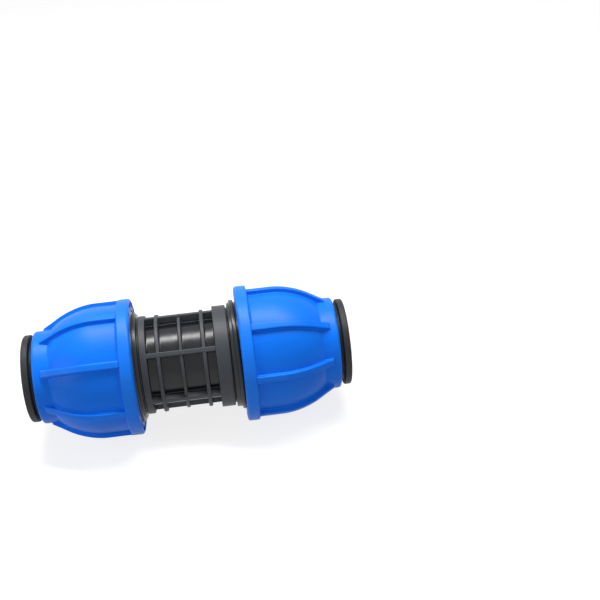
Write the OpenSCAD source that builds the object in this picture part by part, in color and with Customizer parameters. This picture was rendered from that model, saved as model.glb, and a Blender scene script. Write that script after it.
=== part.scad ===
// Straight compression coupling for plastic and metal pipes of one size.
// The pipe axis runs along X and Z points up. The origin is the centre of the whole length.
// Each end has its own frame: x grows outwards from the middle of the body.

/* [Pipe sockets] */
// Radius of the bore that takes the pipe
socket_r = 17.25; // [16.5:0.05:17.3]
// Radius of the hole in the pipe stop
stop_r = 15; // [13:0.5:16]
// Thickness of the pipe stop between the two sockets
stop_w = 3; // [2:0.5:5]
// Radial room between the loose rings and the pipe bore
ring_room = 0.2; // [0.2:0.05:0.3]

/* [Body] */
// Half of the length of the whole body
body_half_len = 45; // [44:0.5:46]
// Outer radius of the plain barrel under the ribs
barrel_r = 20.6; // [20:0.1:21.5]
// Half of the length of the ribbed grid
grid_half_len = 16.9; // [16:0.1:17.5]
// Distance of the outer hoop ribs from the middle
hoop_x = 11.3; // [9:0.1:13]
// Crest radius of the outer hoop ribs
hoop_r = 24.7; // [23.8:0.1:25.2]
// Width of the outer hoop ribs
hoop_w = 1.9; // [1.2:0.1:2.6]
// Crest radius of the thin middle hoop
mid_hoop_r = 24; // [22.5:0.1:24.2]
// Width of the thin middle hoop
mid_hoop_w = 1.6; // [0.8:0.1:2]
// Number of long ribs around the barrel
long_rib_count = 6; // [4:1:8]
// Crest radius of the long ribs
long_rib_r = 24.8; // [23:0.1:24.8]
// Width of the long ribs
long_rib_w = 2.3; // [1.5:0.1:3]
// Radius of the wide collar
wide_collar_r = 25.8; // [25.2:0.1:26]
// Width of the wide collar
wide_collar_w = 6.9; // [5:0.1:6.9]
// Radius of the narrow collar
narrow_collar_r = 24.9; // [24.4:0.1:25.6]
// Width of the narrow collar
narrow_collar_w = 3.4; // [2.5:0.1:3.6]

/* [Thread] */
// Radius at the foot of the body thread
thread_root_r = 24.6; // [24.4:0.1:25]
// Height of the body thread
thread_h = 3.4; // [3.2:0.1:3.5]
// Advance of the thread in one turn
thread_lead = 3.4; // [3.3:0.1:3.8]
// Width of the thread crest
thread_crest_w = 1.4; // [1.1:0.1:1.6]
// Width of the thread foot
thread_root_w = 2.4; // [2:0.1:2.6]
// Room between the body thread and the nut thread
thread_room = 0.3; // [0.25:0.05:0.35]

/* [Nut] */
// Radius of the flange
flange_r = 34.5; // [33.5:0.1:36]
// Width of the flange
flange_w = 6.2; // [5:0.1:7.5]
// Length of the nut from flange face to neck end
nut_len = 49.2; // [48.5:0.1:51]
// Outer radius of the shell beside the flange, between the ribs
shell_r = 32; // [31:0.1:32.4]
// Height of the ribs over the shell
rib_h = 2.2; // [1.5:0.1:2.4]
// Width of the ribs
rib_w = 3.6; // [2.5:0.1:4.5]
// Number of ribs around the nut
rib_count = 8; // [6:1:10]
// Outer radius of the neck
neck_r = 23.3; // [22.8:0.1:24]
// Radius of the mouth that holds the end ring
mouth_r = 19; // [18.9:0.05:19.4]
// Number of blind pockets in the flange face
pocket_count = 16; // [12:2:20]

/* [End ring] */
// Radius of the end ring's rim
end_rim_r = 22; // [21:0.1:23]
// Width of the end ring's rim
end_rim_w = 3.4; // [2.5:0.1:4.5]
// Gap between the neck end and the rim
end_gap = 1.9; // [1:0.1:2.5]

/* [Grip ring] */
// Outer radius at the thick end of the grip ring
grip_big_r = 24.3; // [24:0.1:24.5]
// Outer radius at the thin end of the grip ring
grip_small_r = 19.3; // [19:0.1:19.5]
// Width of the slit in the grip ring
grip_slit_w = 3; // [2:0.5:5]
// Depth of the teeth in the grip ring
tooth_h = 1; // [0.6:0.1:1.3]
// Number of teeth along the grip ring
tooth_count = 7; // [5:1:9]

/* [Washer and seal] */
// Thickness of the thrust washer
washer_w = 3; // [2:0.5:4]
// Length of the seal
seal_len = 11; // [9:0.5:12]
// Outer radius of the seal at the body's mouth
seal_big_r = 22.2; // [21.8:0.1:22.3]
// Outer radius of the seal at its inner end
seal_small_r = 20.2; // [19.6:0.1:20.6]

/* [Hidden] */

body_grey = "#3a3b3f";
nut_blue = "#0a62e0";
rubber_black = "#2a2a2b";
grip_white = "#e6e4dc";

// Roundness of circles and of the outlines that are turned
round_fn = 96;
thread_steps = 32;
fade_steps = 6;
curve_steps = 14;
fillet_steps = 5;

// Distance of each nut's flange face from the middle of the body, as the coupling is shown:
// the left nut is done up and the right one is still slack
left_face_x = 23.4;
right_face_x = 29;
// Turn of each nut about its axis, from a rib at the top
left_nut_turn = 80.5;
right_nut_turn = 37;
// Turn of the long ribs on the barrel
long_rib_turn = 48;

// Common small sizes
seat_gap = 0.3;
edge_r = 0.8;
cut_over = 1;
sink = 0.4;
grid_edge_r = 0.4;
thread_lead_in = 1.8;
nut_lead_in = 1.2;
thread_lap = 0.8;
mouth_band_w = 1.5;
mouth_band_h = 0.1;

// Places along one end, from the nut's flange face outwards
washer_at = body_half_len + seat_gap - left_face_x;
grip_at = washer_at + washer_w;
mouth_len = 3.4;
grip_end = nut_len - mouth_len - seat_gap;

// Places along the nut's dome
dome_level_len = 12;
neck_len = 6.4;
rib_on_neck_len = 2.2;
dome_from = flange_w + dome_level_len;
neck_from = nut_len - neck_len;
shell_neck_from = neck_from - rib_h;
rib_end = neck_from + rib_on_neck_len;
rib_proud = 1.3;
rib_foot_r = neck_r + rib_proud;
dome_bend = 1.8;
dome_fullness = 0.8;

// The nut's own radii follow the body thread
tip_room_share = 1.6;
thread_crest_r = thread_root_r + thread_h;
nut_bore_r = thread_crest_r + thread_room;
nut_root_r = nut_bore_r + thread_room;
nut_tip_r = thread_root_r + tip_room_share * thread_room;
nut_foot_w = thread_lead - thread_crest_w - 2 * thread_room;
nut_tip_w = thread_lead - thread_root_w - 2 * thread_room;
nut_thread_from = 1.4;
thread_end_gap = 1.05;
nut_thread_to = washer_at - thread_end_gap;
nut_first_ridge = nut_thread_from + nut_lead_in;
rim_wall = 1.7;
hub_wall = 2.1;
pocket_out_r = flange_r - rim_wall;
pocket_in_r = nut_bore_r + hub_wall;
pocket_depth = 3.6;
pocket_web_w = 2.4;
tooth_tip_share = 0.8;

// The whole length is centred on the origin
end_reach = nut_len + end_gap + end_rim_w;
middle_x = (right_face_x - left_face_x) / 2;

ring_r = socket_r + ring_room;

// Turns a list of [radius, x] points about X.
module revolve(points) {
    rotate([0, 90, 0])
        rotate_extrude($fn = round_fn)
            polygon(points);
}

// Points of a quarter circle about a centre, from one angle to the next.
function arc(centre, r, from, to) = [
    for (i = [0 : fillet_steps])
        let (a = from + (to - from) * i / fillet_steps)
            [centre[0] + r * cos(a), centre[1] + r * sin(a)]
];

// A ring with square edges.
module plain_ring(inner_r, outer_r, from_x, to_x) {
    revolve([[inner_r, from_x], [outer_r, from_x], [outer_r, to_x], [inner_r, to_x]]);
}

// A ring with rounded outer edges, bored at its inner radius.
module rounded_ring(inner_r, outer_r, from_x, to_x, edge) {
    revolve(concat(
        [[inner_r, from_x]],
        arc([outer_r - edge, from_x + edge], edge, -90, 0),
        arc([outer_r - edge, to_x - edge], edge, 0, 90),
        [[inner_r, to_x]]
    ));
}

// A threaded sleeve about X: one wall carries a right-handed screw ridge, and the other is
// plain. It is drawn as columns of points along X, one for each step of a turn. The ridge
// crosses each column once a turn and fades into the wall at both ends.
module threaded_sleeve(from_x, to_x, wall_r, ridge_h, back_r, foot_w, tip_w, lead_in) {
    turns = floor((to_x - from_x - lead_in - foot_w / 2) / thread_lead);
    rows = 4 * turns + 2;
    fade_end = thread_steps * turns - 1;
    columns = [
        for (i = [0 : thread_steps - 1])
            concat(
                [[from_x, wall_r]],
                [
                    for (k = [0 : turns - 1])
                        let (
                            step = i + thread_steps * k,
                            x = from_x + lead_in + thread_lead * step / thread_steps,
                            h = ridge_h * min(1, step / fade_steps, (fade_end - step) / fade_steps)
                        )
                        for (p = [[-foot_w, 0], [-tip_w, h], [tip_w, h], [foot_w, 0]])
                            [x + p[0] / 2, wall_r + p[1]]
                ],
                [[to_x, wall_r], [to_x, back_r], [from_x, back_r]]
            )
    ];
    size = rows + 2;
    points = [
        for (i = [0 : thread_steps - 1])
            let (a = 360 * i / thread_steps)
                for (p = columns[i])
                    [p[0], -p[1] * sin(a), p[1] * cos(a)]
    ];
    // Between two columns, rows lie level. Past the last column the ridge is one turn on,
    // so there the rows shift by the four points of one crossing.
    strips = [
        for (i = [0 : thread_steps - 2])
            for (j = [0 : size - 1])
                let (a = size * i + j, b = size * i + (j + 1) % size)
                    for (face = [[a, b, b + size], [a, b + size, a + size]])
                        face
    ];
    z = size * (thread_steps - 1);
    seam = concat(
        [for (j = [0 : 3]) [z, j + 1, j]],
        [[z, z + 1, 5], [z, 5, 4]],
        [for (j = [1 : rows - 7]) for (f = [[z + j, z + j + 1, j + 5], [z + j, j + 5, j + 4]]) f],
        [[z + rows - 6, z + rows - 5, rows - 1], [z + rows - 6, rows - 1, rows - 2]],
        [for (j = [rows - 5 : rows - 2]) [z + j, z + j + 1, rows - 1]],
        [for (j = [rows - 1 : rows + 1])
            let (k = (j + 1) % size)
                for (f = [[z + j, z + k, k], [z + j, k, j]]) f]
    );
    faces = concat(strips, seam);
    outward = back_r < wall_r;
    polyhedron(points, outward ? faces : [for (f = faces) [f[2], f[1], f[0]]]);
}

// Puts one end's pieces on the left or on the right of the body.
module at_left() {
    translate([-middle_x, 0, 0])
        rotate([0, 0, 180])
            children();
}

module at_right() {
    translate([-middle_x, 0, 0])
        children();
}

// Puts a piece that is drawn in a nut's own frame where that nut is.
module on_left_nut() {
    translate([left_face_x, 0, 0])
        rotate([left_nut_turn, 0, 0])
            children();
}

module on_right_nut() {
    translate([right_face_x, 0, 0])
        rotate([right_nut_turn, 0, 0])
            children();
}

// The ribbed grid between the collars.
module grid() {
    for (side = [-1, 1])
        rounded_ring(barrel_r - sink, hoop_r, side * hoop_x - hoop_w / 2,
                     side * hoop_x + hoop_w / 2, grid_edge_r);
    rounded_ring(barrel_r - sink, mid_hoop_r, -mid_hoop_w / 2, mid_hoop_w / 2, grid_edge_r);
    for (i = [0 : long_rib_count - 1])
        rotate([long_rib_turn + 360 * i / long_rib_count, 0, 0])
            translate([-grid_half_len - sink, -long_rib_w / 2, barrel_r - sink])
                cube([2 * (grid_half_len + sink), long_rib_w, long_rib_r - barrel_r + sink]);
}

// One threaded spigot with the collar behind it, in its end's frame. Its thread is turned so
// that the ridge of the nut, as that nut stands, lies halfway between two of its turns.
module spigot(collar_r, collar_w, face_x, nut_turn) {
    collar_end = grid_half_len + collar_w;
    first_ridge_x = collar_end + thread_lead_in;
    ridge_shift = first_ridge_x - face_x - nut_first_ridge;
    rounded_ring(socket_r, collar_r, grid_half_len, collar_end, grid_edge_r);
    difference() {
        union() {
            plain_ring(socket_r, thread_root_r - thread_lap, grid_half_len,
                       body_half_len - mouth_band_w / 2);
            rounded_ring(socket_r, thread_root_r + mouth_band_h, body_half_len - mouth_band_w,
                         body_half_len, grid_edge_r);
        }
        seal_seat();
    }
    rotate([180 + nut_turn + 360 * ridge_shift / thread_lead, 0, 0])
        threaded_sleeve(collar_end - sink, body_half_len - mouth_band_w + sink,
                        thread_root_r, thread_h, thread_root_r - 2 * thread_lap,
                        thread_root_w, thread_crest_w, thread_lead_in + sink);
}

// The tapered seat of the seal, cut into the body's mouth.
module seal_seat() {
    revolve([
        [0, body_half_len - seal_len - seat_gap],
        [seal_small_r + seat_gap, body_half_len - seal_len - seat_gap],
        [seal_big_r + seat_gap, body_half_len],
        [seal_big_r + seat_gap, body_half_len + cut_over],
        [0, body_half_len + cut_over],
    ]);
}

module coupling_body() {
    color(body_grey)
        at_right() {
            plain_ring(socket_r, barrel_r, -grid_half_len - sink, grid_half_len + sink);
            plain_ring(stop_r, socket_r + sink, -stop_w / 2, stop_w / 2);
            grid();
            spigot(wide_collar_r, wide_collar_w, right_face_x, right_nut_turn);
            rotate([0, 0, 180])
                spigot(narrow_collar_r, narrow_collar_w, left_face_x, left_nut_turn);
        }
}

// The dome's outline is level beside the flange and then falls faster and faster.
function dome_drop(share) = pow(1 - pow(share, dome_bend), dome_fullness);
function dome_line(top_r, low_r, end_x) = [
    for (i = [0 : curve_steps])
        let (share = i / curve_steps)
            [dome_from + (end_x - dome_from) * share, low_r + (top_r - low_r) * dome_drop(share)]
];

function reversed(list) = [for (i = [len(list) - 1 : -1 : 0]) list[i]];

// The shell of one nut, with its flange face at x = 0.
module nut_shell() {
    revolve(concat(
        [[nut_bore_r, 0]],
        arc([flange_r - edge_r, edge_r], edge_r, -90, 0),
        arc([flange_r - edge_r, flange_w - edge_r], edge_r, 0, 90),
        [[shell_r, flange_w]],
        [for (p = dome_line(shell_r, neck_r, shell_neck_from)) [p[1], p[0]]],
        arc([neck_r - edge_r, nut_len - edge_r], edge_r, 0, 90),
        [
            [mouth_r, nut_len],
            [mouth_r, nut_len - mouth_len],
            [grip_small_r + seat_gap, nut_len - mouth_len],
            [grip_small_r + seat_gap, grip_end],
            [grip_big_r + seat_gap, grip_at],
            [nut_bore_r, washer_at - seat_gap],
            [nut_bore_r, nut_thread_to],
            [nut_root_r + thread_lap, nut_thread_to],
            [nut_root_r + thread_lap, nut_thread_from],
            [nut_bore_r, nut_thread_from],
        ]
    ));
}

// One rib of the nut, standing up.
module nut_rib() {
    crest_r = shell_r + rib_h;
    rotate([90, 0, 0])
        linear_extrude(height = rib_w, center = true)
            polygon(concat(
                [[flange_w - sink, shell_r - sink], [flange_w - sink, crest_r]],
                dome_line(crest_r, rib_foot_r, neck_from),
                [[rib_end, rib_foot_r], [rib_end, neck_r - sink]],
                reversed(dome_line(shell_r - sink, neck_r - sink, shell_neck_from))
            ));
}

// The blind pockets in the flange face, parted by radial webs.
module flange_pockets() {
    difference() {
        revolve([
            [pocket_in_r, -cut_over], [pocket_out_r, -cut_over],
            [pocket_out_r, pocket_depth], [pocket_in_r, pocket_depth],
        ]);
        for (i = [0 : pocket_count / 2 - 1])
            rotate([360 * (i + 0.5) / pocket_count, 0, 0])
                translate([-2 * cut_over, -pocket_web_w / 2, -flange_r])
                    cube([pocket_depth + 4 * cut_over, pocket_web_w, 2 * flange_r]);
    }
}

// One nut with its flange face at x = 0 and a rib at the top.
module nut() {
    color(nut_blue) {
        difference() {
            nut_shell();
            flange_pockets();
        }
        for (i = [0 : rib_count - 1])
            rotate([360 * i / rib_count, 0, 0])
                nut_rib();
        threaded_sleeve(nut_thread_from - sink, nut_thread_to + sink, nut_root_r,
                        nut_tip_r - nut_root_r, nut_root_r + 2 * thread_lap,
                        nut_foot_w, nut_tip_w, nut_lead_in + sink);
    }
}

// The rubber ring in the nut's mouth, with a rim outside it.
module end_ring() {
    neck_out_r = mouth_r - seat_gap;
    color(rubber_black)
        revolve(concat(
            [[ring_r, nut_len - mouth_len], [neck_out_r, nut_len - mouth_len],
             [neck_out_r, nut_len + end_gap]],
            arc([end_rim_r - edge_r, nut_len + end_gap + edge_r], edge_r, -90, 0),
            arc([end_rim_r - edge_r, end_reach - edge_r], edge_r, 0, 90),
            [[ring_r, end_reach]]
        ));
}

// The split cone that grips the pipe. Its teeth lean inwards against the pipe's pull.
module grip_ring() {
    tooth_pitch = (grip_end - grip_at) / tooth_count;
    color(grip_white)
        difference() {
            revolve(concat(
                [[grip_big_r, grip_at], [grip_small_r, grip_end]],
                [
                    for (i = [tooth_count - 1 : -1 : 0])
                        for (p = [[ring_r, 1], [ring_r, tooth_tip_share], [ring_r + tooth_h, 0]])
                            [p[0], grip_at + tooth_pitch * (i + p[1])]
                ]
            ));
            translate([grip_at - cut_over, -grip_slit_w / 2, 0])
                cube([grip_end - grip_at + 2 * cut_over, grip_slit_w, grip_big_r + cut_over]);
        }
}

// The flat ring between the grip ring and the seal.
module thrust_washer() {
    color(body_grey)
        rounded_ring(ring_r, grip_big_r, washer_at, grip_at, grid_edge_r);
}

// The tapered rubber ring in the body's mouth.
module seal() {
    color(rubber_black)
        revolve([
            [ring_r, body_half_len - seal_len], [seal_small_r, body_half_len - seal_len],
            [seal_big_r, body_half_len], [ring_r, body_half_len],
        ]);
}

coupling_body();
at_left() on_left_nut() nut();  // left_nut
at_right() on_right_nut() nut();  // right_nut
at_left() on_left_nut() end_ring();  // left_end_ring
at_right() on_right_nut() end_ring();  // right_end_ring
at_left() on_left_nut() grip_ring();  // left_grip_ring
at_right() on_right_nut() grip_ring();  // right_grip_ring
at_left() on_left_nut() thrust_washer();  // left_thrust_washer
at_right() on_right_nut() thrust_washer();  // right_thrust_washer
at_left() seal();  // left_seal
at_right() seal();  // right_seal
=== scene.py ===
"""Looks of a straight compression coupling for plastic pipe: two ribbed nuts, a caged body and its rings.

Every shape is worked out in millimetres with numpy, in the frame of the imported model: the pipe axis
runs along X and Z points up. Each end has its own frame, where x grows outwards from the body's middle.
"""
import math

import bmesh
import bpy
import numpy as np
from mathutils import Matrix, Vector


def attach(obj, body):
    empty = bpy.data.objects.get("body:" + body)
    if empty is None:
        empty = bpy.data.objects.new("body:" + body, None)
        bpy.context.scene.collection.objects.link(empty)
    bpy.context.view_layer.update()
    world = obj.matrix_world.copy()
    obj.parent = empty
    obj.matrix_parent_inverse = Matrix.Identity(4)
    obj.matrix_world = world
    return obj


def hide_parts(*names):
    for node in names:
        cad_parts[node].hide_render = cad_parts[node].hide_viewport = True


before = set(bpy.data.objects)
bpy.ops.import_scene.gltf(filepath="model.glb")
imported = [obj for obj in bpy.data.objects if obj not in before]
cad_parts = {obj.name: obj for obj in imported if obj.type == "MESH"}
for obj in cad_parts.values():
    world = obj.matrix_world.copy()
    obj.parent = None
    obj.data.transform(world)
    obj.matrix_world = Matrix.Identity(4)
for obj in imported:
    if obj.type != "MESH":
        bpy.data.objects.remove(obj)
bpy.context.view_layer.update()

bl_info = {
    "name": "Compression coupling",
    "version": (1, 0, 0),
    "blender": (4, 5, 0),
    "location": "3D View > Sidebar > Coupling",
    "description": "Builds the nuts, the body, the rings and the studio of a pipe coupling",
    "category": "Add Mesh",
}

MM = 0.001

# Places along the pipe axis, in millimetres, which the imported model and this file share.
MIDDLE_X = 2.8
LEFT_FACE_X, RIGHT_FACE_X = 23.4, 29.0
LEFT_NUT_TURN, RIGHT_NUT_TURN, LONG_RIB_TURN = 80.5, 37.0, 48.0
BODY_HALF, GRID_HALF = 45.0, 16.9
SEAT_GAP = 0.3
LEAD = 3.4
NO_CAP = 1000.0


class CouplingNutSizes(bpy.types.PropertyGroup):
    """Sizes of the two nuts."""

    flange_radius: bpy.props.FloatProperty(
        name="Flange radius", description="Outer radius of the nut's flange",
        default=34.5 * MM, min=33 * MM, max=36 * MM, unit="LENGTH", precision=5)
    flange_width: bpy.props.FloatProperty(
        name="Flange width", description="Width of the flange along the pipe",
        default=6.2 * MM, min=5 * MM, max=7.5 * MM, unit="LENGTH", precision=5)
    length: bpy.props.FloatProperty(
        name="Nut length", description="Length from the flange face to the end of the neck",
        default=49.2 * MM, min=48 * MM, max=51 * MM, unit="LENGTH", precision=5)
    shell_radius: bpy.props.FloatProperty(
        name="Shell radius", description="Radius of the dome between the ribs, beside the flange",
        default=32 * MM, min=31 * MM, max=32.4 * MM, unit="LENGTH", precision=5)
    rib_height: bpy.props.FloatProperty(
        name="Rib height", description="Height of the ribs over the dome",
        default=2.2 * MM, min=1.5 * MM, max=2.4 * MM, unit="LENGTH", precision=5)
    rib_width: bpy.props.FloatProperty(
        name="Rib width", description="Width of the ribs across their crest",
        default=3.6 * MM, min=2.5 * MM, max=4.5 * MM, unit="LENGTH", precision=5)
    rib_count: bpy.props.IntProperty(
        name="Ribs", description="Number of ribs around the nut", default=8, min=6, max=10)
    neck_radius: bpy.props.FloatProperty(
        name="Neck radius", description="Outer radius of the nut's neck",
        default=23.3 * MM, min=22.8 * MM, max=24 * MM, unit="LENGTH", precision=5)
    face_edge: bpy.props.FloatProperty(
        name="End edge rounding", description="Radius of the rounded edges at the nut's two ends",
        default=1.4 * MM, min=0.6 * MM, max=1.6 * MM, unit="LENGTH", precision=5)
    edge: bpy.props.FloatProperty(
        name="Edge rounding", description="Radius of the other rounded outer edges",
        default=0.8 * MM, min=0.3 * MM, max=1.2 * MM, unit="LENGTH", precision=5)
    rib_edge: bpy.props.FloatProperty(
        name="Rib edge rounding", description="Radius of the rounded edges of the rib crests",
        default=0.5 * MM, min=0.2 * MM, max=0.9 * MM, unit="LENGTH", precision=5)
    pocket_depth: bpy.props.FloatProperty(
        name="Pocket depth", description="Depth of the blind pockets in the flange face",
        default=3.6 * MM, min=2 * MM, max=4.5 * MM, unit="LENGTH", precision=5)


class CouplingBodySizes(bpy.types.PropertyGroup):
    """Sizes of the body, its cage of ribs and its threads."""

    barrel_radius: bpy.props.FloatProperty(
        name="Barrel radius", description="Outer radius of the plain barrel under the cage",
        default=20.6 * MM, min=20 * MM, max=21.5 * MM, unit="LENGTH", precision=5)
    hoop_radius: bpy.props.FloatProperty(
        name="Hoop radius", description="Crest radius of the two outer hoops",
        default=24.7 * MM, min=23.8 * MM, max=25.2 * MM, unit="LENGTH", precision=5)
    middle_hoop_radius: bpy.props.FloatProperty(
        name="Middle hoop radius", description="Crest radius of the thin middle hoop",
        default=24 * MM, min=22.5 * MM, max=24.2 * MM, unit="LENGTH", precision=5)
    long_rib_radius: bpy.props.FloatProperty(
        name="Long rib radius", description="Crest radius of the ribs along the barrel",
        default=24.8 * MM, min=23 * MM, max=24.8 * MM, unit="LENGTH", precision=5)
    wide_collar_radius: bpy.props.FloatProperty(
        name="Wide collar radius", description="Radius of the wide collar on the right",
        default=25.8 * MM, min=25.2 * MM, max=26 * MM, unit="LENGTH", precision=5)
    narrow_collar_radius: bpy.props.FloatProperty(
        name="Narrow collar radius", description="Radius of the narrow collar on the left",
        default=24.9 * MM, min=24.4 * MM, max=25.6 * MM, unit="LENGTH", precision=5)
    edge: bpy.props.FloatProperty(
        name="Edge rounding", description="Radius of the rounded edges of the cage",
        default=0.4 * MM, min=0.2 * MM, max=0.6 * MM, unit="LENGTH", precision=5)
    thread_root: bpy.props.FloatProperty(
        name="Thread root radius", description="Radius at the foot of the male threads",
        default=26.6 * MM, min=26.2 * MM, max=26.8 * MM, unit="LENGTH", precision=5)
    thread_height: bpy.props.FloatProperty(
        name="Thread height", description="Height of the male threads",
        default=1.4 * MM, min=1 * MM, max=1.5 * MM, unit="LENGTH", precision=5)


def linear(text):
    """Linear colour of an sRGB hex value such as #0a62e0, by the two-part sRGB curve."""
    srgb = [int(text[i:i + 2], 16) / 255 for i in (1, 3, 5)]
    return [c / 12.92 if c <= 0.04045 else ((c + 0.055) / 1.055) ** 2.4 for c in srgb]


class CouplingFinish(bpy.types.PropertyGroup):
    """Colours of the mouldings."""

    nut_colour: bpy.props.FloatVectorProperty(
        name="Nut colour", description="Pigment of the polypropylene nuts",
        subtype="COLOR", size=3, min=0, max=1, default=linear("#0176f2"))
    nut_shade: bpy.props.FloatVectorProperty(
        name="Nut flow colour", description="Slightly denser pigment along the flow lines",
        subtype="COLOR", size=3, min=0, max=1, default=linear("#016ce4"))
    body_colour: bpy.props.FloatVectorProperty(
        name="Body colour", description="Charcoal of the body's ribs and collars",
        subtype="COLOR", size=3, min=0, max=1, default=linear("#303439"))
    # Painted shade: this near black on the threads and spigots beside the nuts stands in for the nuts'
    # shade on them.
    shaded_thread_colour: bpy.props.FloatVectorProperty(
        name="Thread colour", description="Near black of the greased threads and the spigots under them",
        subtype="COLOR", size=3, min=0, max=1, default=linear("#1b1e22"))
    barrel_colour: bpy.props.FloatVectorProperty(
        name="Barrel colour", description="Darker, smoother barrel under the cage",
        subtype="COLOR", size=3, min=0, max=1, default=linear("#0e1218"))
    rubber_colour: bpy.props.FloatVectorProperty(
        name="Rubber colour", description="Black rubber of the end rings and seals",
        subtype="COLOR", size=3, min=0, max=1, default=linear("#222325"))


# Meshes from grids of points


def mesh_object(name, grids, material):
    """One smooth object from closed grids. Each grid is rows x columns x 3 in millimetres and closes
    round its columns. It closes round its rows too, unless its first and last rows are points."""
    points, quads, start = [], [], 0
    for grid in grids:
        rows, columns = grid.shape[:2]
        open_ends = np.ptp(grid[0], axis=0).max() < 1e-6
        i, k = np.meshgrid(np.arange(rows - 1 if open_ends else rows), np.arange(columns), indexing="ij")
        i2, k2 = (i + 1) % rows, (k + 1) % columns
        faces = np.stack([i * columns + k, i * columns + k2, i2 * columns + k2, i2 * columns + k], -1)
        faces = faces.reshape(-1, 4)
        flat = grid.reshape(-1, 3)
        a, b, c, d = (flat[faces[:, n]] for n in range(4))
        volume = np.einsum("ij,ij->i", a, np.cross(b, c) + np.cross(c, d)).sum()
        if volume < 0:
            faces = faces[:, ::-1]
        points.append(flat)
        quads.append(faces + start)
        start += len(flat)
    points = np.concatenate(points) * MM
    quads = np.concatenate(quads)
    mesh = bpy.data.meshes.new(name)
    mesh.vertices.add(len(points))
    mesh.vertices.foreach_set("co", points.ravel())
    mesh.loops.add(quads.size)
    mesh.loops.foreach_set("vertex_index", quads.ravel().astype(np.int32))
    mesh.polygons.add(len(quads))
    mesh.polygons.foreach_set("loop_start", np.arange(0, quads.size, 4, dtype=np.int32))
    mesh.polygons.foreach_set("use_smooth", np.ones(len(quads), dtype=bool))
    mesh.update(calc_edges=True)
    mesh.validate()
    obj = bpy.data.objects.new(name, mesh)
    bpy.context.scene.collection.objects.link(obj)
    mesh.materials.append(material)
    close_seams(mesh)
    set_face_weighted_normals(mesh)
    return obj


def close_seams(mesh):
    """Merges the points that lie on each other where a ridge runs out."""
    shell = bmesh.new()
    shell.from_mesh(mesh)
    bmesh.ops.remove_doubles(shell, verts=shell.verts, dist=2e-7)
    bmesh.ops.dissolve_degenerate(shell, edges=shell.edges, dist=1e-7)
    shell.to_mesh(mesh)
    shell.free()


def set_face_weighted_normals(mesh):
    """Each point's normal is the mean of its faces' normals, weighted by their area, so that large
    faces stay flat beside narrow rounded edges."""
    count = len(mesh.polygons)
    normals = np.empty(count * 3)
    mesh.polygons.foreach_get("normal", normals)
    areas = np.empty(count)
    mesh.polygons.foreach_get("area", areas)
    totals = np.empty(count, dtype=np.int32)
    mesh.polygons.foreach_get("loop_total", totals)
    corners = np.empty(len(mesh.loops), dtype=np.int32)
    mesh.loops.foreach_get("vertex_index", corners)
    weighted = np.repeat(normals.reshape(-1, 3) * areas[:, None], totals, axis=0)
    summed = np.stack([np.bincount(corners, weighted[:, n], len(mesh.vertices)) for n in range(3)], -1)
    length = np.linalg.norm(summed, axis=1, keepdims=True)
    summed = np.where(length > 0, summed / np.maximum(length, 1e-30), [[1.0, 0.0, 0.0]])
    mesh.normals_split_custom_set_from_vertices(summed.tolist())


def around_axis(x, r, angle):
    """Points at distance r from the X axis. Angle 0 is up, and angles grow right-handed about +X."""
    x, r, angle = np.broadcast_arrays(x, r, angle)
    return np.stack([x, -r * np.sin(angle), r * np.cos(angle)], -1)


def turned(profile, columns=160):
    """A closed profile of (x, r) points carried once round the X axis."""
    profile = np.asarray(profile, dtype=float)
    angle = np.linspace(0, 2 * np.pi, columns, endpoint=False)
    return around_axis(profile[:, :1], profile[:, 1:], angle[None, :])


def quarter(centre_x, centre_r, radius, start, end, steps=6):
    """Points of an arc in the (x, r) plane, from one angle to the next in degrees."""
    a = np.radians(np.linspace(start, end, steps))
    return [(centre_x + radius * s, centre_r + radius * c) for s, c in zip(np.sin(a), np.cos(a))]


def screw_ridge(first_x, radius, turns, section, height, fade=0.19, per_turn=96):
    """A ridge wound right-handed round the X axis: x grows by one lead a turn from first_x.
    Its section is carried along, and its height grows from nothing over the first part of a turn
    and sinks away again over the last part. The ends close to points."""
    count = int(per_turn * turns) + 1
    turn = np.linspace(0, turns, count)[:, None]
    grown = np.clip(np.minimum(turn, turns - turn) / fade, 0, 1)
    grown = grown * grown * (3 - 2 * grown)
    shape = np.asarray(section, dtype=float)
    x = first_x + LEAD * turn + shape[None, :, 0] * (0.35 + 0.65 * grown)
    foot = np.sign(height) * -0.45
    r = radius + foot + (shape[None, :, 1] * abs(height) * np.sign(height) - foot) * np.maximum(grown, 0)
    x[[0, -1]] = x[[0, -1]].mean(axis=1, keepdims=True)
    r[[0, -1]] = radius + foot
    return around_axis(x, r, 2 * np.pi * turn)


def at_end(grid, side, face_x=0.0, turn=0.0):
    """Turns and moves a grid from an end's own frame to the coupling. The left end is the right one
    turned half a turn about Z."""
    c, s = math.cos(math.radians(turn)), math.sin(math.radians(turn))
    x = grid[..., 0] + face_x
    y = c * grid[..., 1] - s * grid[..., 2]
    z = s * grid[..., 1] + c * grid[..., 2]
    if side == "left":
        x, y = -x, -y
    return np.stack([x - MIDDLE_X, y, z], -1)


def rib_section(half, edge, fillet, draft):
    """Half of a rib's cross-section, from its middle outwards: distance from the middle, how far the
    crest has rounded down, and how high the foot's fillet reaches. Fillet may differ from row to row."""
    a = np.radians(np.linspace(0, 90, 5))
    fillet = np.atleast_1d(np.asarray(fillet, dtype=float))[:, None]
    upper_t = np.concatenate([[0, 0.55 * (half - edge)], half - edge + edge * np.sin(a)])
    upper_drop = np.concatenate([[0, 0], edge * (1 - np.cos(a))])
    lower_t = half + draft + fillet * (1 - np.cos(a))
    lower_cap = fillet * (1 - np.sin(a))
    rows = len(fillet)
    t = np.concatenate([np.repeat(upper_t[None], rows, 0), lower_t], 1)
    drop = np.concatenate([np.repeat(upper_drop[None], rows, 0), 0 * lower_t], 1)
    cap = np.concatenate([np.full((rows, len(upper_t)), NO_CAP), lower_cap], 1)
    return t, drop, cap


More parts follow.
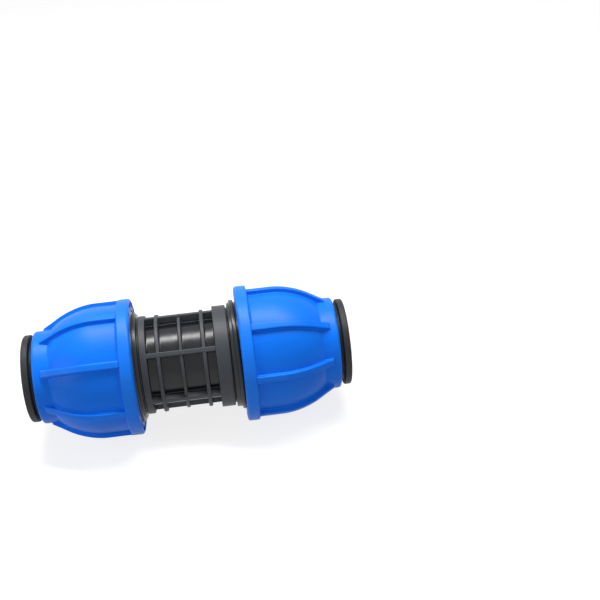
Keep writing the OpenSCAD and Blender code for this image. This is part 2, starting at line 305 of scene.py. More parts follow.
def rib_rise(height, drop, cap):
    """Height of a rib over its ground: the crest less its rounding, or the foot's fillet, each kept to
    its own half of the height so that the wall never folds."""
    height = np.maximum(height, 0)
    return np.where(cap >= NO_CAP, height - np.minimum(drop, height / 2), np.minimum(cap, height / 2))


def soft_max(a, b, softness=0.12):
    """The larger of two heights, with a small fillet where they cross."""
    return 0.5 * (a + b + np.sqrt((a - b) ** 2 + softness ** 2))


# The nuts

DOME_FROM, NECK_LENGTH, RIB_ON_NECK, RIB_PROUD = 18.2, 6.4, 2.2, 0.9
RIB_TAIL_LENGTH, RIB_TAIL_SLOPE = 6.0, 0.56
# Steps of small rounded corners, in millimetres: along the axis and outwards at the bore's edge,
# outwards with the pocket's share at its walls, along with the share of the height at the rim's
# foot, and back or on from a rib's end with the share of its height that is lost or left.
BORE_EDGE = ((0.4, 0), (0.14, 0.06), (0.03, 0.2), (0, 0.45), (0, 1.2))
POCKET_WALL = ((-0.28, 0), (-0.12, 0.02), (-0.04, 0.07), (0, 0.16), (0.06, 0.92), (0.14, 0.98), (0.3, 1))
RIM_FOOT = ((0.05, 0.8), (0.1, 0.55), (0.17, 0.32), (0.3, 0.17), (0.5, 0.08), (0.8, 0.025), (1.2, 0))
RIB_END_BACK = ((1.1, 0), (0.55, 0), (0.28, 0.05), (0.12, 0.16), (0.03, 0.34), (0, 0.5))
RIB_END_ON = ((0.06, 0.22), (0.16, 0.06), (0.35, 0))
# Places across half of a web between two pockets, from its middle line's edge, with the pocket's share.
WEB_WALL = (-0.18, -0.08, -0.02, 0.01, 0.07, 0.14, 0.35)
WEB_SHARE = (0, 0.02, 0.07, 0.16, 0.92, 0.98, 1.0)
NUT_BORE_R, NUT_ROOT_R, NUT_TIP_R = 28.3, 28.6, 26.9
NUT_FIRST_RIDGE, NUT_THREAD_TURNS = 3.45, 4.75
POCKET_IN_R, POCKET_OUT_R, WEB_HALF = 30.4, 32.8, 1.2
WASHER_AT, WASHER_WIDTH, MOUTH_LENGTH = 21.9, 3.0, 3.4
GRIP_BIG_R, GRIP_SMALL_R, MOUTH_R = 24.3, 19.3, 19.0


def dome_radius(x, top, low, end):
    """Outline of the dome: level up to its start, then low + (top - low) * (1 - s^1.8)^0.8, where s
    is the share of the way to its end. It is averaged over 1 mm, which rounds its inner corner."""
    total = 0
    for offset in np.linspace(-0.5, 0.5, 9):
        share = np.clip((x + offset - DOME_FROM) / (end - DOME_FROM), 0, 1)
        total = total + low + (top - low) * (1 - share ** 1.8) ** 0.8
    return total / 9


def nut_profile(nut):
    """The nut's section as rows of x, r, rib crest radius and share of the pocket. It starts in the
    bore, runs over the flange face, the rim, the dome and the neck, and comes back through the
    mouth, the cone of the grip ring and the thread's ground. A rib's crest follows the dome's curve
    and ends on the neck in a straight slope."""
    flange_r, flange_w, length = nut.flange_radius / MM, nut.flange_width / MM, nut.length / MM
    shell_r, neck_r = nut.shell_radius / MM, nut.neck_radius / MM
    edge, face_edge = nut.edge / MM, nut.face_edge / MM
    crest_r, foot_r = shell_r + nut.rib_height / MM, neck_r + RIB_PROUD
    neck_from = length - NECK_LENGTH
    shell_end, rib_end = neck_from - nut.rib_height / MM, neck_from + RIB_ON_NECK
    rows = []

    def row(x, r, crest=0.0, pocket=0.0):
        rows.append((x, r, crest, pocket))

    row(1.4, NUT_BORE_R)
    for x, r in BORE_EDGE:
        row(x, NUT_BORE_R + r)
    for step, share in POCKET_WALL:
        row(0, POCKET_IN_R + step, pocket=share)
    row(0, (POCKET_IN_R + POCKET_OUT_R) / 2, pocket=1)
    for step, share in reversed(POCKET_WALL):
        row(0, POCKET_OUT_R - step, pocket=share)
    for x, r in quarter(face_edge, flange_r - face_edge, face_edge, -90, 0, 8):
        row(x, r)
    for share in (0.08, 0.35, 0.65, 0.92):
        row(face_edge + (flange_w - face_edge - edge) * share, flange_r)
    for x, r in quarter(flange_w - edge, flange_r - edge, edge, 0, 82, 7):
        row(x, r, crest_r)
    side = flange_r - edge - shell_r
    for x, share in RIM_FOOT:
        row(flange_w + x, shell_r + side * share, crest_r + 0.5 * share)
    level = np.linspace(flange_w + 2.0, DOME_FROM, 9)
    fall = DOME_FROM + (neck_from + 0.6 - DOME_FROM) * (1 - (1 - np.linspace(0, 1, 40)[1:]) ** 1.5)

    def crest_at(x):
        tail = foot_r + np.minimum(rib_end - x, RIB_TAIL_LENGTH) * RIB_TAIL_SLOPE
        return soft_max(dome_radius(x, crest_r, foot_r, neck_from), tail, 0.2)

    for x in np.concatenate([level, fall]):
        row(x, dome_radius(x, shell_r, neck_r, shell_end), crest_at(x))
    for back, lower in RIB_END_BACK:
        row(rib_end - back, neck_r, crest_at(rib_end - back) - lower * RIB_PROUD)
    for on, share in RIB_END_ON:
        row(rib_end + on, neck_r, neck_r + share * RIB_PROUD)
    row(rib_end + 1.5, neck_r)
    for x, r in quarter(length - face_edge, neck_r - face_edge, face_edge, 0, 90, 8):
        row(x, r)
    for x, r in quarter(length - 0.3, MOUTH_R + 0.3, -0.3, -90, 0, 4):
        row(x, r)
    mouth_in = length - MOUTH_LENGTH
    for x, r in (
        (mouth_in, MOUTH_R), (mouth_in - 0.02, GRIP_SMALL_R + SEAT_GAP),
        (mouth_in - SEAT_GAP, GRIP_SMALL_R + SEAT_GAP),
        ((mouth_in + WASHER_AT + WASHER_WIDTH) / 2, (GRIP_SMALL_R + GRIP_BIG_R) / 2 + SEAT_GAP),
        (WASHER_AT + WASHER_WIDTH, GRIP_BIG_R + SEAT_GAP),
        (WASHER_AT - SEAT_GAP, NUT_BORE_R), (20.85, NUT_BORE_R), (20.8, NUT_ROOT_R), (11, NUT_ROOT_R),
        (1.6, NUT_ROOT_R),
    ):
        row(x, r)
    return np.array(rows)


def nut_columns(nut, radius, fillet):
    """Angles of the nut's columns for every row, with each column's rib rounding, fillet and pocket
    share. Each rib and each web between two pockets has its own cluster of columns, at a fixed
    distance in millimetres from its middle, and even columns fill the spaces between them."""
    pitch = 2 * np.pi / nut.rib_count
    t_rib, drop, cap = rib_section(nut.rib_width / MM / 2 - 0.1, nut.rib_edge / MM, fillet, 0.12)
    wall, share = WEB_HALF + np.array(WEB_WALL), np.array(WEB_SHARE)
    t_web = np.concatenate([-wall[::-1], [0], wall])
    web_share = np.concatenate([share[::-1], [0], share])
    reach = np.maximum(radius, 23.0)[:, None]
    rows = len(radius)
    rib = t_rib / reach
    web = pitch / 4 + t_web[None] / reach
    middle = np.full((rows, 1), pitch / 2)

    def filled(a, b, count):
        f = np.arange(1, count + 1)[None] / (count + 1)
        return a[:, -1:] * (1 - f) + b[:, :1] * f

    first, second = filled(rib, web, 3), filled(web, middle, 4)
    half = np.concatenate([rib, first, web, second, middle], 1)
    spare = half.shape[1] - rib.shape[1]
    half_drop = np.concatenate([drop, np.zeros((rows, spare))], 1)
    half_cap = np.concatenate([cap, np.zeros((rows, spare))], 1)
    ones = np.ones(rib.shape[1] + first.shape[1])
    half_pocket = np.concatenate([ones, web_share, np.ones(second.shape[1] + 1)])[None]

    def whole(part, mirrored):
        return np.concatenate([part, mirrored[:, -2:0:-1]], 1)

    sector = whole(half, pitch - half)
    angle = np.concatenate([sector + pitch * n for n in range(nut.rib_count)], 1)
    repeat = [np.tile(whole(a, a), (1, nut.rib_count)) for a in (half_drop, half_cap, half_pocket)]
    return angle, repeat[0], repeat[1], repeat[2]


def nut_grid(nut):
    """The nut's whole skin in its own frame, as one closed grid."""
    x, r, crest, pocket = nut_profile(nut).T
    # The fillets beside the ribs widen towards the neck, which rounds the ends of the panels.
    along = np.clip((x - 31) / 9, 0, 1) * np.clip((42.5 - x) / 3, 0, 1)
    fillet = 0.5 + 0.6 * along ** 2 * (crest > 0)
    reach = np.where(crest > 0, np.maximum(crest, r), r)
    angle, drop, cap, web = nut_columns(nut, reach, fillet)
    height = np.where(crest > 0, crest - r, 0)[:, None]
    radius = r[:, None] + rib_rise(height, drop, cap)
    shift = nut.pocket_depth / MM * pocket[:, None] * web
    return around_axis(x[:, None] + shift, radius, angle)


NUT_RIDGE = ((-0.36, -0.1), (-0.3, 0.05), (-0.12, 0.85), (-0.08, 0.97), (0, 1), (0.08, 0.97), (0.12, 0.85),
             (0.3, 0.05), (0.36, -0.1))


class COUPLING_OT_nuts(bpy.types.Operator):
    """Builds both compression nuts with their ribs, pocketed flanges and inner threads"""

    bl_idname = "coupling.nuts"
    bl_label = "Build nuts"

    def execute(self, context):
        nut = context.scene.coupling_nut
        skin = nut_grid(nut)
        ridge = screw_ridge(NUT_FIRST_RIDGE, NUT_ROOT_R, NUT_THREAD_TURNS, NUT_RIDGE,
                            NUT_TIP_R - NUT_ROOT_R)
        material = moulded_polypropylene(context.scene.coupling_finish)
        for side, face_x, turn in (("left", LEFT_FACE_X, LEFT_NUT_TURN),
                                   ("right", RIGHT_FACE_X, RIGHT_NUT_TURN)):
            grids = [at_end(skin, side, face_x, turn), at_end(ridge, side, face_x, turn)]
            piece = mesh_object(f"{side}_nut_moulding", grids, material)
            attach(piece, f"{side}_nut")
            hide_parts(f"{side}_nut")
        return {"FINISHED"}


# The body

HOOP_X, HOOP_HALF, MIDDLE_HOOP_HALF = 11.3, 0.95, 0.8
LONG_RIBS, LONG_RIB_HALF = 6, 1.15
WIDE_COLLAR, NARROW_COLLAR = 6.9, 3.4
SOCKET_R, STOP_R, STOP_HALF = 17.25, 15.0, 1.5
SEAL_LENGTH, SEAL_BIG_R, SEAL_SMALL_R = 11.0, 22.2, 20.2
SPIGOT_R, RELIEF_R, RELIEF_WIDTH = 24.6, 24.3, 0.7
THREAD_LEAD_IN, THREAD_RUN_OUT, BAND = 1.8, 2.8, 1.5
RIGHT_COLLAR_END = GRID_HALF + WIDE_COLLAR - MIDDLE_X
LEFT_COLLAR_END = GRID_HALF + NARROW_COLLAR + MIDDLE_X
BODY_RIDGE = ((-1.35, -0.1), (-1.25, 0.05), (-1.12, 0.6), (-1.02, 0.86), (-0.8, 0.97), (0, 1),
              (0.8, 0.97), (1.02, 0.86), (1.12, 0.6), (1.25, 0.05), (1.35, -0.1))


def hoop_rows(centre, half, crest_r, ground_r, edge):
    """Rows across one hoop, from one foot over the crest to the other."""
    t, drop, cap = rib_section(half, edge, 0.45, 0.06)
    rise = rib_rise(crest_r - ground_r, drop, cap)
    t, rise = t[0], rise[0]
    return ([(centre - a, ground_r + b) for a, b in zip(t[::-1], rise[::-1])]
            + [(centre + a, ground_r + b) for a, b in zip(t[1:], rise[1:])])


def end_rows(collar_r, collar_w, body):
    """Rows of one end, from the cage over the collar, the thread's ground and the mouth, and back
    through the seal's seat to the pipe stop."""
    ground, edge, root = body.barrel_radius / MM, body.edge / MM, body.thread_root / MM
    collar_end = GRID_HALF + collar_w
    rows = [(GRID_HALF - 0.5, ground), (GRID_HALF - 0.25, ground + 0.05), (GRID_HALF - 0.1, ground + 0.2),
            (GRID_HALF - 0.03, ground + 0.5)]
    rows += quarter(GRID_HALF + edge, collar_r - edge, edge, -90, 0, 5)
    rows += [(GRID_HALF + collar_w * share, collar_r) for share in (0.35, 0.65)]
    rows += quarter(collar_end - edge, collar_r - edge, edge, 0, 70, 5)
    relief_end, thread_end = collar_end + RELIEF_WIDTH, BODY_HALF - BAND
    rows += [(collar_end, RELIEF_R + 0.2), (collar_end + 0.15, RELIEF_R)]
    rows += [(relief_end - 0.15, RELIEF_R), (relief_end, RELIEF_R + 0.2)]
    rows += [(relief_end + 0.04, root - 0.3), (relief_end + 0.25, root - 0.06)]
    rows += [(x, root) for x in np.linspace(relief_end + 0.5, thread_end - 0.9, 9)]
    rows += [(thread_end - 0.5, root - 0.2), (thread_end, SPIGOT_R + 0.3)]
    rows += quarter(BODY_HALF - edge, SPIGOT_R + 0.1 - edge, edge, 0, 90, 5)
    rows += [(BODY_HALF, SEAL_BIG_R + SEAT_GAP + 0.25), (BODY_HALF - 0.25, SEAL_BIG_R + SEAT_GAP)]
    seat_end = BODY_HALF - SEAL_LENGTH - SEAT_GAP
    rows += [(seat_end + 0.02, SEAL_SMALL_R + SEAT_GAP), (seat_end, SEAL_SMALL_R + SEAT_GAP - 0.05)]
    rows += [(seat_end, SOCKET_R + 0.3), (seat_end - 0.3, SOCKET_R)]
    rows += [(x, SOCKET_R) for x in (25, 15, 6, STOP_HALF + 0.3)]
    rows += [(STOP_HALF, SOCKET_R - 0.3), (STOP_HALF, STOP_R + 0.3), (STOP_HALF - 0.3, STOP_R)]
    return rows


def body_grid(body):
    """The body's whole skin as one closed grid. Radius is the larger of two heights: the section
    along the axis with its hoops and collars, and between the collars the ribs along the barrel."""
    ground, edge = body.barrel_radius / MM, body.edge / MM
    hoop, middle = body.hoop_radius / MM, body.middle_hoop_radius / MM
    right = end_rows(body.wide_collar_radius / MM, WIDE_COLLAR, body)
    left = end_rows(body.narrow_collar_radius / MM, NARROW_COLLAR, body)
    cage = []
    for centre, half, crest in ((-HOOP_X, HOOP_HALF, hoop), (0, MIDDLE_HOOP_HALF, middle),
                                (HOOP_X, HOOP_HALF, hoop)):
        cage += hoop_rows(centre, half, crest, ground, edge)
        reach = HOOP_X / 2
        if centre < HOOP_X:
            cage += [(centre + reach * share, ground) for share in (0.6, 1.0, 1.4)]
    mirrored = [(-x, r) for x, r in left[::-1]]
    profile = np.array(mirrored + [(-GRID_HALF + 1.6, ground)] + cage + [(GRID_HALF - 1.6, ground)] + right)
    x, r = profile[:, 0], profile[:, 1]
    t, drop, cap = rib_section(LONG_RIB_HALF, edge, 0.45, 0.06)
    rise = rib_rise(body.long_rib_radius / MM - ground, drop, cap)[0]
    pitch = 2 * np.pi / LONG_RIBS
    near = t[0] / 22.5
    fill = near[-1] + (pitch / 2 - near[-1]) * np.arange(1, 12) / 11
    half = np.concatenate([near, fill])
    half_rise = np.concatenate([rise, 0 * fill])
    angle = np.concatenate([half, pitch - half[-2:0:-1]])
    ribs = np.concatenate([half_rise, half_rise[-2:0:-1]])
    angle = np.concatenate([angle + pitch * n for n in range(LONG_RIBS)])
    ribs = np.tile(ribs, LONG_RIBS)
    outside = (np.abs(x) <= GRID_HALF + 0.1) & (r > SOCKET_R + 1)
    radius = np.where(outside[:, None], soft_max(r[:, None], ground + ribs[None]), r[:, None])
    return around_axis(x[:, None], radius, angle[None] + math.radians(LONG_RIB_TURN))


def body_threads(body):
    """The two male threads. Half a turn sets each ridge midway between the ridges of its nut."""
    threads = []
    for side, collar, face_x, nut_turn in (("right", WIDE_COLLAR, RIGHT_FACE_X, RIGHT_NUT_TURN),
                                           ("left", NARROW_COLLAR, LEFT_FACE_X, LEFT_NUT_TURN)):
        first = GRID_HALF + collar + THREAD_LEAD_IN
        turns = (BODY_HALF - THREAD_RUN_OUT - first) / LEAD
        turn = 180 + nut_turn + 360 * (first - face_x - NUT_FIRST_RIDGE) / LEAD
        ridge = screw_ridge(first, body.thread_root / MM, turns, BODY_RIDGE, body.thread_height / MM)
        threads.append(at_end(ridge, side, 0, turn))
    return threads


class COUPLING_OT_body(bpy.types.Operator):
    """Builds the body with its cage of hoops and ribs, collars, threads and sockets"""

    bl_idname = "coupling.body"
    bl_label = "Build body"

    def execute(self, context):
        body = context.scene.coupling_body
        grids = [at_end(body_grid(body), "right")] + body_threads(body)
        material = moulded_glass_filled(context.scene.coupling_finish)
        piece = mesh_object("coupling_body_moulding", grids, material)
        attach(piece, "barrel")
        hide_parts("coupling_body")
        return {"FINISHED"}


# The rings

RING_R, END_RIM_R, END_RIM_WIDTH, END_GAP = 17.45, 22.0, 3.4, 1.9


def end_ring_profile(length):
    """Section of the rubber ring: a plug in the nut's mouth, a groove, and a rim whose outer corners
    are rounded and whose face has a shallow wiping lip."""
    rim_in = length + END_GAP
    rim_out = rim_in + END_RIM_WIDTH
    plug_r = MOUTH_R - SEAT_GAP
    inner = length - MOUTH_LENGTH
    rows = [(inner, RING_R + 0.2), (inner, plug_r - 0.3), (inner + 0.3, plug_r), (length, plug_r)]
    rows += [(rim_in - 0.4, plug_r), (rim_in - 0.1, plug_r + 0.12), (rim_in, plug_r + 0.45)]
    rows += quarter(rim_in + 0.5, END_RIM_R - 0.5, 0.5, -90, 0, 7)
    rows += quarter(rim_out - 0.9, END_RIM_R - 0.9, 0.9, 0, 90, 7)
    rows += [(rim_out, 20.0), (rim_out - 0.12, 19.7), (rim_out - 0.4, 19.5), (rim_out - 0.42, 19.0),
             (rim_out - 0.15, 18.7), (rim_out, 18.4), (rim_out - 0.05, 17.8)]
    rows += [(rim_out - 0.4, RING_R + 0.02)]
    rows += [(inner + 0.4, RING_R)]
    return rows


class COUPLING_OT_end_rings(bpy.types.Operator):
    """Builds the rubber rings in the nuts' mouths"""

    bl_idname = "coupling.end_rings"
    bl_label = "Build end rings"

    def execute(self, context):
        ring = turned(end_ring_profile(context.scene.coupling_nut.length / MM))
        material = moulded_rubber("Moulded black EPDM end ring", context.scene.coupling_finish)
        for side, face_x in (("left", LEFT_FACE_X), ("right", RIGHT_FACE_X)):
            piece = mesh_object(f"{side}_end_ring_rubber", [at_end(ring, side, face_x)], material)
            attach(piece, f"{side}_rings")
            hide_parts(f"{side}_end_ring")
        return {"FINISHED"}


class COUPLING_OT_inner_parts(bpy.types.Operator):
    """Gives the grip rings, thrust washers and seals inside the coupling their finishes"""

    bl_idname = "coupling.inner_parts"
    bl_label = "Finish inner parts"

    def execute(self, context):
        finish = context.scene.coupling_finish
        finishes = {
            "grip_ring": moulded_acetal(),
            "thrust_washer": moulded_washer(),
            "seal": moulded_rubber("Moulded black nitrile seal", finish),
        }
        for kind, material in finishes.items():
            for side in ("left", "right"):
                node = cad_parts[f"{side}_{kind}"]
                for slot in node.material_slots:
                    slot.material = material
        return {"FINISHED"}


# Materials


def add_node(tree, kind, links=None, **settings):
    """Adds one node, sets its settings, and fills its inputs: a socket is linked and a value is set."""
    node = tree.nodes.new(kind)
    for name, value in settings.items():
        setattr(node, name, value)
    for key, value in (links or {}).items():
        if isinstance(value, bpy.types.NodeSocket):
            tree.links.new(value, node.inputs[key])
        else:
            node.inputs[key].default_value = value
    return node


def new_material(name, shader):
    """A material with one Principled shader whose inputs are set. Returns the material, its tree and
    the shader."""
    material = bpy.data.materials.new(name)
    material.use_nodes = True
    tree = material.node_tree
    tree.nodes.clear()
    out = tree.nodes.new("ShaderNodeOutputMaterial")
    surface = add_node(tree, "ShaderNodeBsdfPrincipled", shader)
    tree.links.new(surface.outputs["BSDF"], out.inputs["Surface"])
    return material, tree, surface


def noise(tree, place, size_mm, detail=2.0, roughness=0.5):
    """Noise whose features are about size_mm wide. Object coordinates are in metres."""
    node = add_node(tree, "ShaderNodeTexNoise", {"Vector": place, "Scale": 1000 / size_mm, "Detail": detail,
                                                 "Roughness": roughness})
    return node.outputs["Fac"]


def spread(tree, value, low, high, to_low, to_high):
    """Maps a value from one range to another and keeps it inside."""
    node = add_node(tree, "ShaderNodeMapRange", {"Value": value, "From Min": low, "From Max": high,
                                                 "To Min": to_low, "To Max": to_high})
    return node.outputs["Result"]


def blend(tree, factor, first, second):
    """Mixes two colours."""
    node = add_node(tree, "ShaderNodeMix", {0: factor}, data_type="RGBA")
    for index, colour in ((6, first), (7, second)):
        if isinstance(colour, bpy.types.NodeSocket):
            tree.links.new(colour, node.inputs[index])
        else:
            node.inputs[index].default_value = (*colour, 1.0)
    return node.outputs[2]


def radius_mm(tree, place):
    """Distance from the pipe axis in millimetres, from Object coordinates."""
    flat = add_node(tree, "ShaderNodeVectorMath", {0: place, 1: (0.0, 1000.0, 1000.0)},
                    operation="MULTIPLY")
    length = add_node(tree, "ShaderNodeVectorMath", {0: flat.outputs[0]}, operation="LENGTH")
    return length.outputs["Value"]


def relief(tree, height, depth_mm, normal=None):
    """Bump of a height whose full range is depth_mm deep."""
    links = {"Height": height, "Strength": 1.0, "Distance": depth_mm * MM}
    if normal is not None:
        links["Normal"] = normal
    return add_node(tree, "ShaderNodeBump", links).outputs["Normal"]


def moulded_polypropylene(finish):
    """Blue polypropylene, injection moulded in a spark-eroded tool: a satin skin with a fine even
    grain, faint flow lines along the pipe axis and a soft, wide highlight."""
    material, tree, surface = new_material("Injection-moulded blue polypropylene",
                                           {"IOR": 1.49, "Specular IOR Level": 0.2})
    place = add_node(tree, "ShaderNodeTexCoord").outputs["Object"]
    # Flow lines are 9 mm wide and four times as long, as the melt runs from the neck.
    along = add_node(tree, "ShaderNodeMapping", {"Vector": place, "Scale": (0.25, 1.0, 1.0)})
    flow = noise(tree, along.outputs["Vector"], 9.0, 3.0, 0.55)
    tone = spread(tree, flow, 0.3, 0.7, 0.0, 1.0)
    pigment = blend(tree, tone, tuple(finish.nut_shade), tuple(finish.nut_colour))
    # A painted highlight: the outermost edges of the flange and ribs are made paler, where the light
    # catches them.
    rim = spread(tree, radius_mm(tree, place), 33.9, 34.5, 0.0, 0.14)
    colour = blend(tree, rim, pigment, linear("#3d97fb"))
    # Real spark grain is about 0.05 mm. It is drawn at 0.5 mm, so that it shows.
    grain = noise(tree, place, 0.5, 2.0, 0.6)
    tree.links.new(colour, surface.inputs["Base Color"])
    tree.links.new(spread(tree, grain, 0.25, 0.75, 0.36, 0.46), surface.inputs["Roughness"])
    waves = noise(tree, place, 7.0, 1.0, 0.4)
    sunk = relief(tree, waves, 0.05)
    tree.links.new(relief(tree, grain, 0.012, sunk), surface.inputs["Normal"])
    return material


def moulded_glass_filled(finish):
    """Charcoal glass-filled polypropylene, injection moulded: the drawn tool faces of ribs and
    collars are matt and a little paler from the fibres, and the barrel between them is smoother."""
    material, tree, surface = new_material("Injection-moulded glass-filled polypropylene",
                                           {"IOR": 1.5, "Specular IOR Level": 0.35})
    place = add_node(tree, "ShaderNodeTexCoord").outputs["Object"]
    raised = spread(tree, radius_mm(tree, place), 20.9, 22.4, 0.0, 1.0)
    mottle = noise(tree, place, 6.0, 3.0, 0.6)
    # Glass fibres are 0.01 mm thick and 1 mm long. They are drawn as 0.6 mm flecks.
    fibre = noise(tree, place, 0.6, 2.0, 0.7)
    cage = blend(tree, spread(tree, fibre, 0.35, 0.75, 0.0, 0.3), tuple(finish.body_colour),
                 linear("#464a50"))
    cage = blend(tree, spread(tree, mottle, 0.35, 0.7, 0.0, 0.3), cage, linear("#2d3034"))
    barrel = blend(tree, spread(tree, mottle, 0.3, 0.7, 0.0, 0.4), tuple(finish.barrel_colour),
                   linear("#0c0f13"))
    skin = blend(tree, raised, barrel, cage)
    # Past the collars the spigots and threads are painted darker, as painted shade of the nuts beside them,
    # and they are glossier.
    across = add_node(tree, "ShaderNodeSeparateXYZ", {0: place}).outputs["X"]
    right = spread(tree, across, RIGHT_COLLAR_END * MM, (RIGHT_COLLAR_END + 0.2) * MM, 0.0, 1.0)
    left = spread(tree, across, -LEFT_COLLAR_END * MM, -(LEFT_COLLAR_END + 0.2) * MM, 0.0, 1.0)
    shaded = add_node(tree, "ShaderNodeMath", {0: right, 1: left}, operation="MAXIMUM").outputs[0]
    tree.links.new(blend(tree, shaded, skin, tuple(finish.shaded_thread_colour)), surface.inputs["Base Color"])
    matt = spread(tree, fibre, 0.25, 0.75, 0.42, 0.56)
    smooth = spread(tree, mottle, 0.25, 0.75, 0.2, 0.28)
    gloss = add_node(tree, "ShaderNodeMix", {0: raised, 2: smooth, 3: matt}, data_type="FLOAT")
    thread_gloss = add_node(tree, "ShaderNodeMix", {0: shaded, 2: gloss.outputs[0], 3: 0.3}, data_type="FLOAT")
    tree.links.new(thread_gloss.outputs[0], surface.inputs["Roughness"])
    waves = relief(tree, mottle, 0.06)
    tree.links.new(relief(tree, fibre, 0.01, waves), surface.inputs["Normal"])
    return material


def moulded_rubber(name, finish):
    """Black rubber, compression moulded: matt, nearly black, with a fine grain and a faint grey
    bloom of wax on the skin."""
    material, tree, surface = new_material(name, {"IOR": 1.52, "Specular IOR Level": 0.25})
    place = add_node(tree, "ShaderNodeTexCoord").outputs["Object"]
    bloom = noise(tree, place, 8.0, 4.0, 0.6)
    # The grain of the mould is about 0.1 mm. It is drawn at 0.7 mm.
    grain = noise(tree, place, 0.7, 2.0, 0.6)
    colour = blend(tree, spread(tree, bloom, 0.45, 0.75, 0.0, 0.5), tuple(finish.rubber_colour),
                   linear("#3b3b3c"))
    tree.links.new(colour, surface.inputs["Base Color"])
    tree.links.new(spread(tree, grain, 0.25, 0.75, 0.48, 0.62), surface.inputs["Roughness"])
    tree.links.new(relief(tree, grain, 0.02), surface.inputs["Normal"])
    return material


def moulded_acetal():
    """Natural white acetal, injection moulded: milky and slick, with a faint warm cloudiness."""
    material, tree, surface = new_material("Injection-moulded white acetal", {"IOR": 1.48})
    place = add_node(tree, "ShaderNodeTexCoord").outputs["Object"]
    cloud = noise(tree, place, 6.0, 3.0, 0.5)
    colour = blend(tree, spread(tree, cloud, 0.3, 0.7, 0.0, 1.0), linear("#e9e7df"), linear("#dedbd0"))
    tree.links.new(colour, surface.inputs["Base Color"])
    tree.links.new(spread(tree, cloud, 0.3, 0.7, 0.28, 0.36), surface.inputs["Roughness"])
    tree.links.new(relief(tree, cloud, 0.03), surface.inputs["Normal"])
    return material


def moulded_washer():
    """Charcoal polypropylene, injection moulded and tumbled: plain and satin, with fine rings of the
    turned tool on its flat faces."""
    material, tree, surface = new_material("Injection-moulded charcoal washer",
                                           {"IOR": 1.49, "Specular IOR Level": 0.25})
    place = add_node(tree, "ShaderNodeTexCoord").outputs["Object"]
    rings = add_node(tree, "ShaderNodeMath", {0: radius_mm(tree, place), 1: 9.0}, operation="MULTIPLY")
    ripple = add_node(tree, "ShaderNodeMath", {0: rings.outputs[0]}, operation="SINE").outputs[0]
    cloud = noise(tree, place, 4.0, 3.0, 0.5)
    colour = blend(tree, spread(tree, cloud, 0.3, 0.7, 0.0, 1.0), linear("#3e3f43"), linear("#333437"))
    tree.links.new(colour, surface.inputs["Base Color"])
    tree.links.new(spread(tree, cloud, 0.3, 0.7, 0.4, 0.52), surface.inputs["Roughness"])
    tree.links.new(relief(tree, ripple, 0.01), surface.inputs["Normal"])
    return material


def studio_floor():
    """Matt white paper with a faint tooth. For the camera and for mirrors it glows a little, so that
    it reads as white outside the shadow."""
    material, tree, surface = new_material("Matt white studio paper", {"Roughness": 0.9})
    surface.inputs["Base Color"].default_value = (*linear("#949494"), 1.0)
    place = add_node(tree, "ShaderNodeTexCoord").outputs["Object"]
    tree.links.new(relief(tree, noise(tree, place, 1.5), 0.01), surface.inputs["Normal"])
    tree.links.new(seen(tree), surface.inputs["Emission Strength"])
    surface.inputs["Emission Color"].default_value = (FLOOR_GLOW, FLOOR_GLOW, FLOOR_GLOW, 1.0)
    return material


def seen(tree):
    """One for rays that carry the picture (straight, mirrored or let through), nothing for the light
    that the stage throws on the object."""
    path = add_node(tree, "ShaderNodeLightPath").outputs
    pair = add_node(tree, "ShaderNodeMath", {0: path["Is Camera Ray"], 1: path["Is Glossy Ray"]},
                    operation="MAXIMUM")
    return add_node(tree, "ShaderNodeMath", {0: pair.outputs[0], 1: path["Is Transmission Ray"]},
                    operation="MAXIMUM").outputs[0]


# The stage

FLOOR_GLOW, WORLD_LIGHT, WORLD_SEEN = 0.8, 0.2, 1.0
FLOOR_Z, FLOOR_THICKNESS = -34.5, 2.0
FLOOR_RINGS = (0.0, 60, 120, 240, 600, 1400, 2600)
# The photograph's camera: focal length for a 36 mm sensor, where the middle of the cage lies in the
# camera's own axes (right, down, ahead) in millimetres, and how the pipe axis is turned there.
LENS = 62.069
CAMERA_PLACE = (-59.216, 30.747, 527.359)
AXIS_TILT, AXIS_YAW, LOOK_DOWN = -6.670, -4.467, 30.0


def camera_matrix():
    """Matrix of the camera in the coupling's frame, in metres, from the fitted place and turns."""
    yaw, tilt, down = (math.radians(a) for a in (AXIS_YAW, AXIS_TILT, LOOK_DOWN))
    turn = Matrix.Rotation(tilt, 3, "Z") @ Matrix.Rotation(yaw, 3, "Y")
    s, c = math.sin(down), math.cos(down)
    axes = [turn @ Vector(a) for a in ((1, 0, 0), (0, -s, c), (0, -c, -s))]
    origin = Vector(CAMERA_PLACE) + turn @ Vector((MIDDLE_X, 0, 0))
    to_object = Matrix(axes)
    facing = to_object @ Matrix(((1, 0, 0), (0, -1, 0), (0, 0, -1)))
    result = facing.to_4x4()
    result.translation = -(to_object @ origin) * MM
    return result


def add_softbox(name, place, target, size, power):
    """A square area lamp that looks from its place to a target. Places and size are in metres."""
    lamp = bpy.data.lights.new(name, "AREA")
    lamp.shape, lamp.size, lamp.size_y, lamp.energy = "RECTANGLE", size[0], size[1], power
    obj = bpy.data.objects.new(name, lamp)
    bpy.context.scene.collection.objects.link(obj)
    obj.location = place
    obj.rotation_mode = "QUATERNION"
    obj.rotation_quaternion = (Vector(target) - Vector(place)).to_track_quat("-Z", "Y")
    return obj


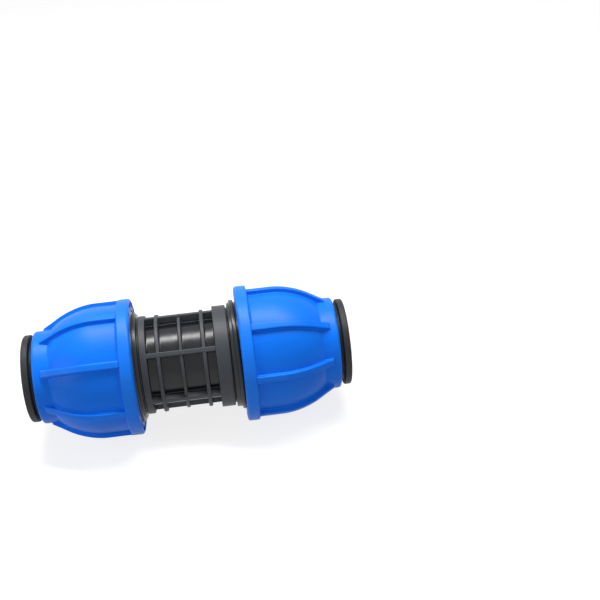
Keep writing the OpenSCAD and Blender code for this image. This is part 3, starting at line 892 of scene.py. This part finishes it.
class COUPLING_OT_stage(bpy.types.Operator):
    """Builds the floor, the soft lamps, the white surroundings and the camera"""

    bl_idname = "coupling.stage"
    bl_label = "Build stage"

    def execute(self, context):
        scene = context.scene
        scene.view_settings.view_transform = "Standard"
        rings = np.array(FLOOR_RINGS)[:, None]
        angle = np.linspace(0, 2 * np.pi, 96, endpoint=False)[None]
        top = np.stack(np.broadcast_arrays(rings * np.cos(angle), rings * np.sin(angle), FLOOR_Z), -1)
        sheet = np.concatenate([top, (top - [0, 0, FLOOR_THICKNESS])[::-1]])
        floor = mesh_object("studio_floor", [sheet], studio_floor())
        world = bpy.data.worlds.new("Soft white surroundings")
        world.use_nodes = True
        tree = world.node_tree
        back = tree.nodes["Background"]
        back.inputs["Color"].default_value = (1.0, 1.0, 1.0, 1.0)
        strength = spread(tree, seen(tree), 0.0, 1.0, WORLD_LIGHT, WORLD_SEEN)
        tree.links.new(strength, back.inputs["Strength"])
        scene.world = world
        add_softbox("overhead_softbox", (0.05, 0.1, 0.75), (0, 0, 0), (0.8, 0.15), 8.5)
        add_softbox("front_fill", (-0.85, -0.42, 0.35), (0, 0, 0), (0.6, 0.6), 2.6)
        # The low card lifts the undersides. It stays out of the gloss, where it would draw a second streak.
        card = add_softbox("low_card", (0.25, -0.9, 0.12), (0, 0, 0), (0.9, 0.3), 1.2)
        card.visible_glossy = False
        data = bpy.data.cameras.new("product_camera")
        data.lens, data.sensor_width, data.clip_start, data.clip_end = LENS, 36.0, 0.01, 20.0
        camera = bpy.data.objects.new("product_camera", data)
        scene.collection.objects.link(camera)
        camera.matrix_world = camera_matrix()
        scene.camera = camera
        return {"FINISHED"}


class COUPLING_PT_panel(bpy.types.Panel):
    """Lists the coupling's pieces, its sizes and its colours"""

    bl_idname = "COUPLING_PT_panel"
    bl_label = "Compression coupling"
    bl_space_type = "VIEW_3D"
    bl_region_type = "UI"
    bl_category = "Coupling"

    def draw(self, context):
        for operator in OPERATORS:
            self.layout.operator(operator.bl_idname)
        for group in ("coupling_nut", "coupling_body", "coupling_finish"):
            values = getattr(context.scene, group)
            box = self.layout.box()
            for name in type(values).__annotations__:
                box.prop(values, name)


OPERATORS = (COUPLING_OT_stage, COUPLING_OT_body, COUPLING_OT_nuts, COUPLING_OT_end_rings,
             COUPLING_OT_inner_parts)
CLASSES = (CouplingNutSizes, CouplingBodySizes, CouplingFinish, *OPERATORS, COUPLING_PT_panel)


def register():
    for cls in CLASSES:
        bpy.utils.register_class(cls)
    bpy.types.Scene.coupling_nut = bpy.props.PointerProperty(type=CouplingNutSizes)
    bpy.types.Scene.coupling_body = bpy.props.PointerProperty(type=CouplingBodySizes)
    bpy.types.Scene.coupling_finish = bpy.props.PointerProperty(type=CouplingFinish)


def unregister():
    del bpy.types.Scene.coupling_finish
    del bpy.types.Scene.coupling_body
    del bpy.types.Scene.coupling_nut
    for cls in reversed(CLASSES):
        bpy.utils.unregister_class(cls)


def main():
    register()
    bpy.ops.coupling.stage()
    bpy.ops.coupling.body()
    bpy.ops.coupling.nuts()
    bpy.ops.coupling.end_rings()
    bpy.ops.coupling.inner_parts()


if __name__ == "__main__":
    main()
